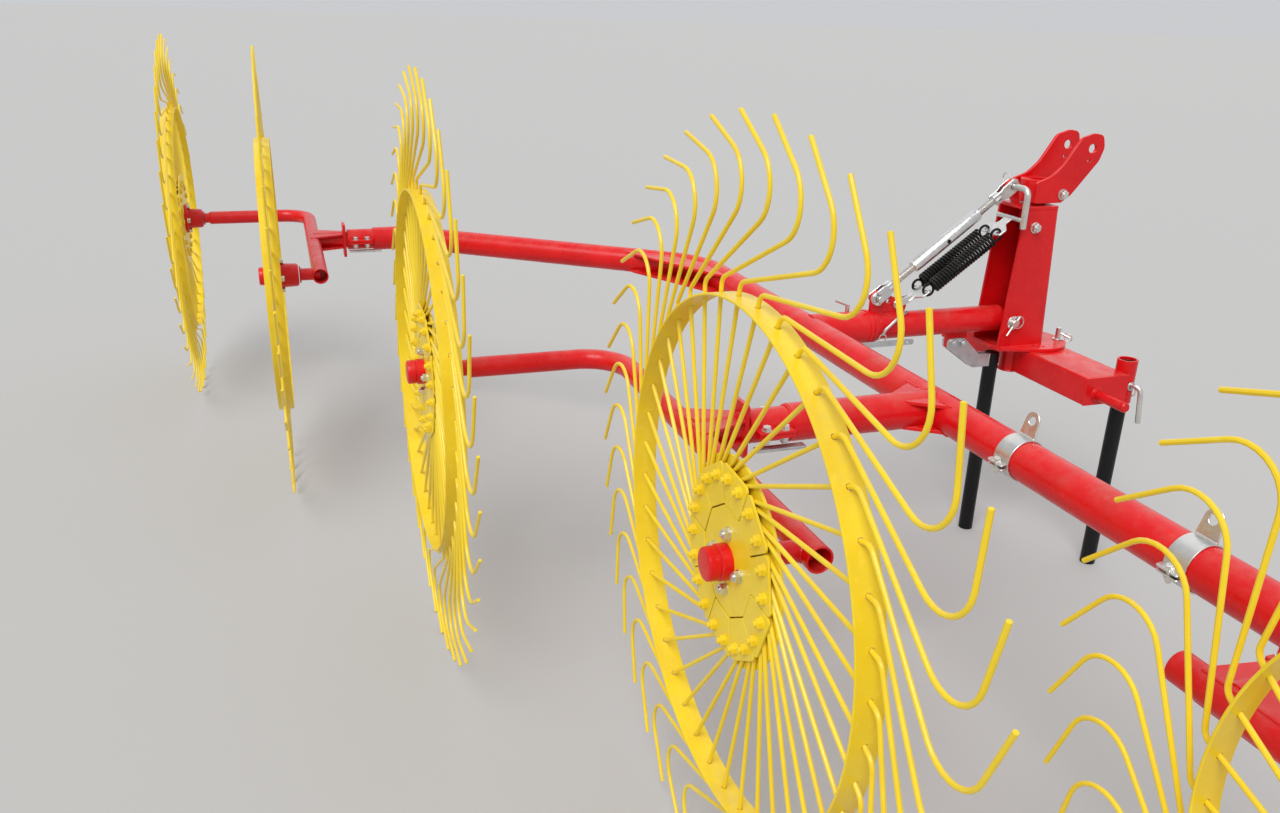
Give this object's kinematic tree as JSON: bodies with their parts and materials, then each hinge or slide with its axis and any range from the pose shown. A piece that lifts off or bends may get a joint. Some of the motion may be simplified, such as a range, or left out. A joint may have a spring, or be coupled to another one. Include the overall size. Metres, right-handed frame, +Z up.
{
  "type": "finger wheel rake",
  "caption": "Tractor-mounted finger wheel rake for tedding and raking hay: spring-fingered wheels on rocking cranks under a bent tube beam, hung from a folding headstock.",
  "frame": {"origin": "on the ground under the middle of the machine's box as it stands parked", "axes": "+Y forward to the tractor, +X along the beam to the end beside the leg sleeve, +Z up"},
  "size_m": [5.6404, 2.6832, 1.4005],
  "materials": {
    "red_paint": "gloss red enamel",
    "yellow_paint": "gloss yellow enamel",
    "black_paint": "satin black enamel",
    "zinc": "bright zinc plating"
  },
  "bodies": {
    "headstock": {"headstock_crossbar": "red_paint", "lower_link_ends": "red_paint", "top_link_head": "red_paint"},
    "mast": {"mast": "red_paint", "arm_hinge_pin": "zinc", "lift_springs": "black_paint"},
    "arm": {"arm": "red_paint"},
    "beam": {"beam": "red_paint", "beam_straps": "zinc"},
    "front_leg": {"parking_leg_front": "black_paint"},
    "rear_leg": {"parking_leg_rear": "black_paint"},
    "turnbuckle": {"turnbuckle_barrel": "zinc"},
    "turnbuckle_rod": {"turnbuckle_rod": "zinc"},
    "crank_1": {"crank_1": "red_paint"},
    "crank_2": {"crank_2": "red_paint"},
    "crank_3": {"crank_3": "red_paint"},
    "wheel_1": {"wheel_1_fingers": "yellow_paint", "wheel_1_rim": "yellow_paint", "wheel_1_disc": "yellow_paint", "wheel_1_hub": "red_paint"},
    "wheel_2": {"wheel_2_fingers": "yellow_paint", "wheel_2_rim": "yellow_paint", "wheel_2_disc": "yellow_paint", "wheel_2_hub": "red_paint"},
    "wheel_3": {"wheel_3_fingers": "yellow_paint", "wheel_3_rim": "yellow_paint", "wheel_3_disc": "yellow_paint", "wheel_3_hub": "red_paint"},
    "wheel_4": {"wheel_4_fingers": "yellow_paint", "wheel_4_rim": "yellow_paint", "wheel_4_disc": "yellow_paint", "wheel_4_hub": "red_paint"},
    "wheel_5": {"wheel_5_fingers": "yellow_paint", "wheel_5_rim": "yellow_paint", "wheel_5_disc": "yellow_paint", "wheel_5_hub": "red_paint"}
  },
  "joints": [
    {"name": "mast_swing", "type": "hinge", "parent": "headstock", "child": "mast", "pos_m": [-0.09, 1.15613, 0.61523], "axis": [0, 0, 1], "range_deg": [-30, 30]},
    {"name": "arm_lift", "type": "hinge", "parent": "mast", "child": "arm", "pos_m": [-0.09, 1.09613, 0.70023], "axis": [-1, 0, 0], "range_deg": [-4, 12], "deforming": ["lift_springs"]},
    {"name": "turnbuckle_tilt", "type": "hinge", "parent": "mast", "child": "turnbuckle", "pos_m": [-0.09, 1.06612, 1.09023], "axis": [-1, 0, 0], "range_deg": [-8, 8]},
    {"name": "turnbuckle_screw", "type": "slide", "parent": "turnbuckle", "child": "turnbuckle_rod", "axis": [0, -0.7959, -0.6054], "range_m": [-0.08, 0.03]},
    {"name": "beam_roll", "type": "hinge", "parent": "arm", "child": "beam", "pos_m": [-0.09, 0.59613, 0.70023], "axis": [0, 1, 0], "range_deg": [-8, 8]},
    {"name": "front_leg_slide", "type": "slide", "parent": "headstock", "child": "front_leg", "axis": [0, 0, 1], "range_m": [0, 0.3]},
    {"name": "rear_leg_fold", "type": "hinge", "parent": "arm", "child": "rear_leg", "pos_m": [-0.09, 0.93212, 0.63423], "axis": [-1, 0, 0], "range_deg": [0, 80]},
    {"name": "crank_1_rock", "type": "hinge", "parent": "beam", "child": "crank_1", "pos_m": [-1.59, -0.66387, 0.70023], "axis": [0, 1, 0], "range_deg": [-12, 12]},
    {"name": "crank_2_rock", "type": "hinge", "parent": "beam", "child": "crank_2", "pos_m": [0.53, 0.01613, 0.70023], "axis": [0, 1, 0], "range_deg": [-12, 12]},
    {"name": "crank_3_rock", "type": "hinge", "parent": "beam", "child": "crank_3", "pos_m": [1.59, 0.35613, 0.70023], "axis": [0, 1, 0], "range_deg": [-12, 12]},
    {"name": "wheel_1_spin", "type": "hinge", "parent": "crank_1", "child": "wheel_1", "pos_m": [-2.12, -1.29388, 0.70023], "axis": [0, 1, 0], "continuous": true},
    {"name": "wheel_2_spin", "type": "hinge", "parent": "crank_1", "child": "wheel_2", "pos_m": [-1.06, -0.95388, 0.70023], "axis": [0, 1, 0], "continuous": true},
    {"name": "wheel_3_spin", "type": "hinge", "parent": "crank_2", "child": "wheel_3", "pos_m": [0, -0.61387, 0.70023], "axis": [0, 1, 0], "continuous": true},
    {"name": "wheel_4_spin", "type": "hinge", "parent": "crank_2", "child": "wheel_4", "pos_m": [1.06, -0.27387, 0.70023], "axis": [0, 1, 0], "continuous": true},
    {"name": "wheel_5_spin", "type": "hinge", "parent": "crank_3", "child": "wheel_5", "pos_m": [2.12, 0.06613, 0.70023], "axis": [0, 1, 0], "continuous": true}
  ],
  "couplings": [
    {"joint": "turnbuckle_tilt", "follows": "arm_lift", "ratio": 0.5877},
    {"joint": "turnbuckle_screw", "follows": "arm_lift", "m_per_rad": -0.33744}
  ]
}
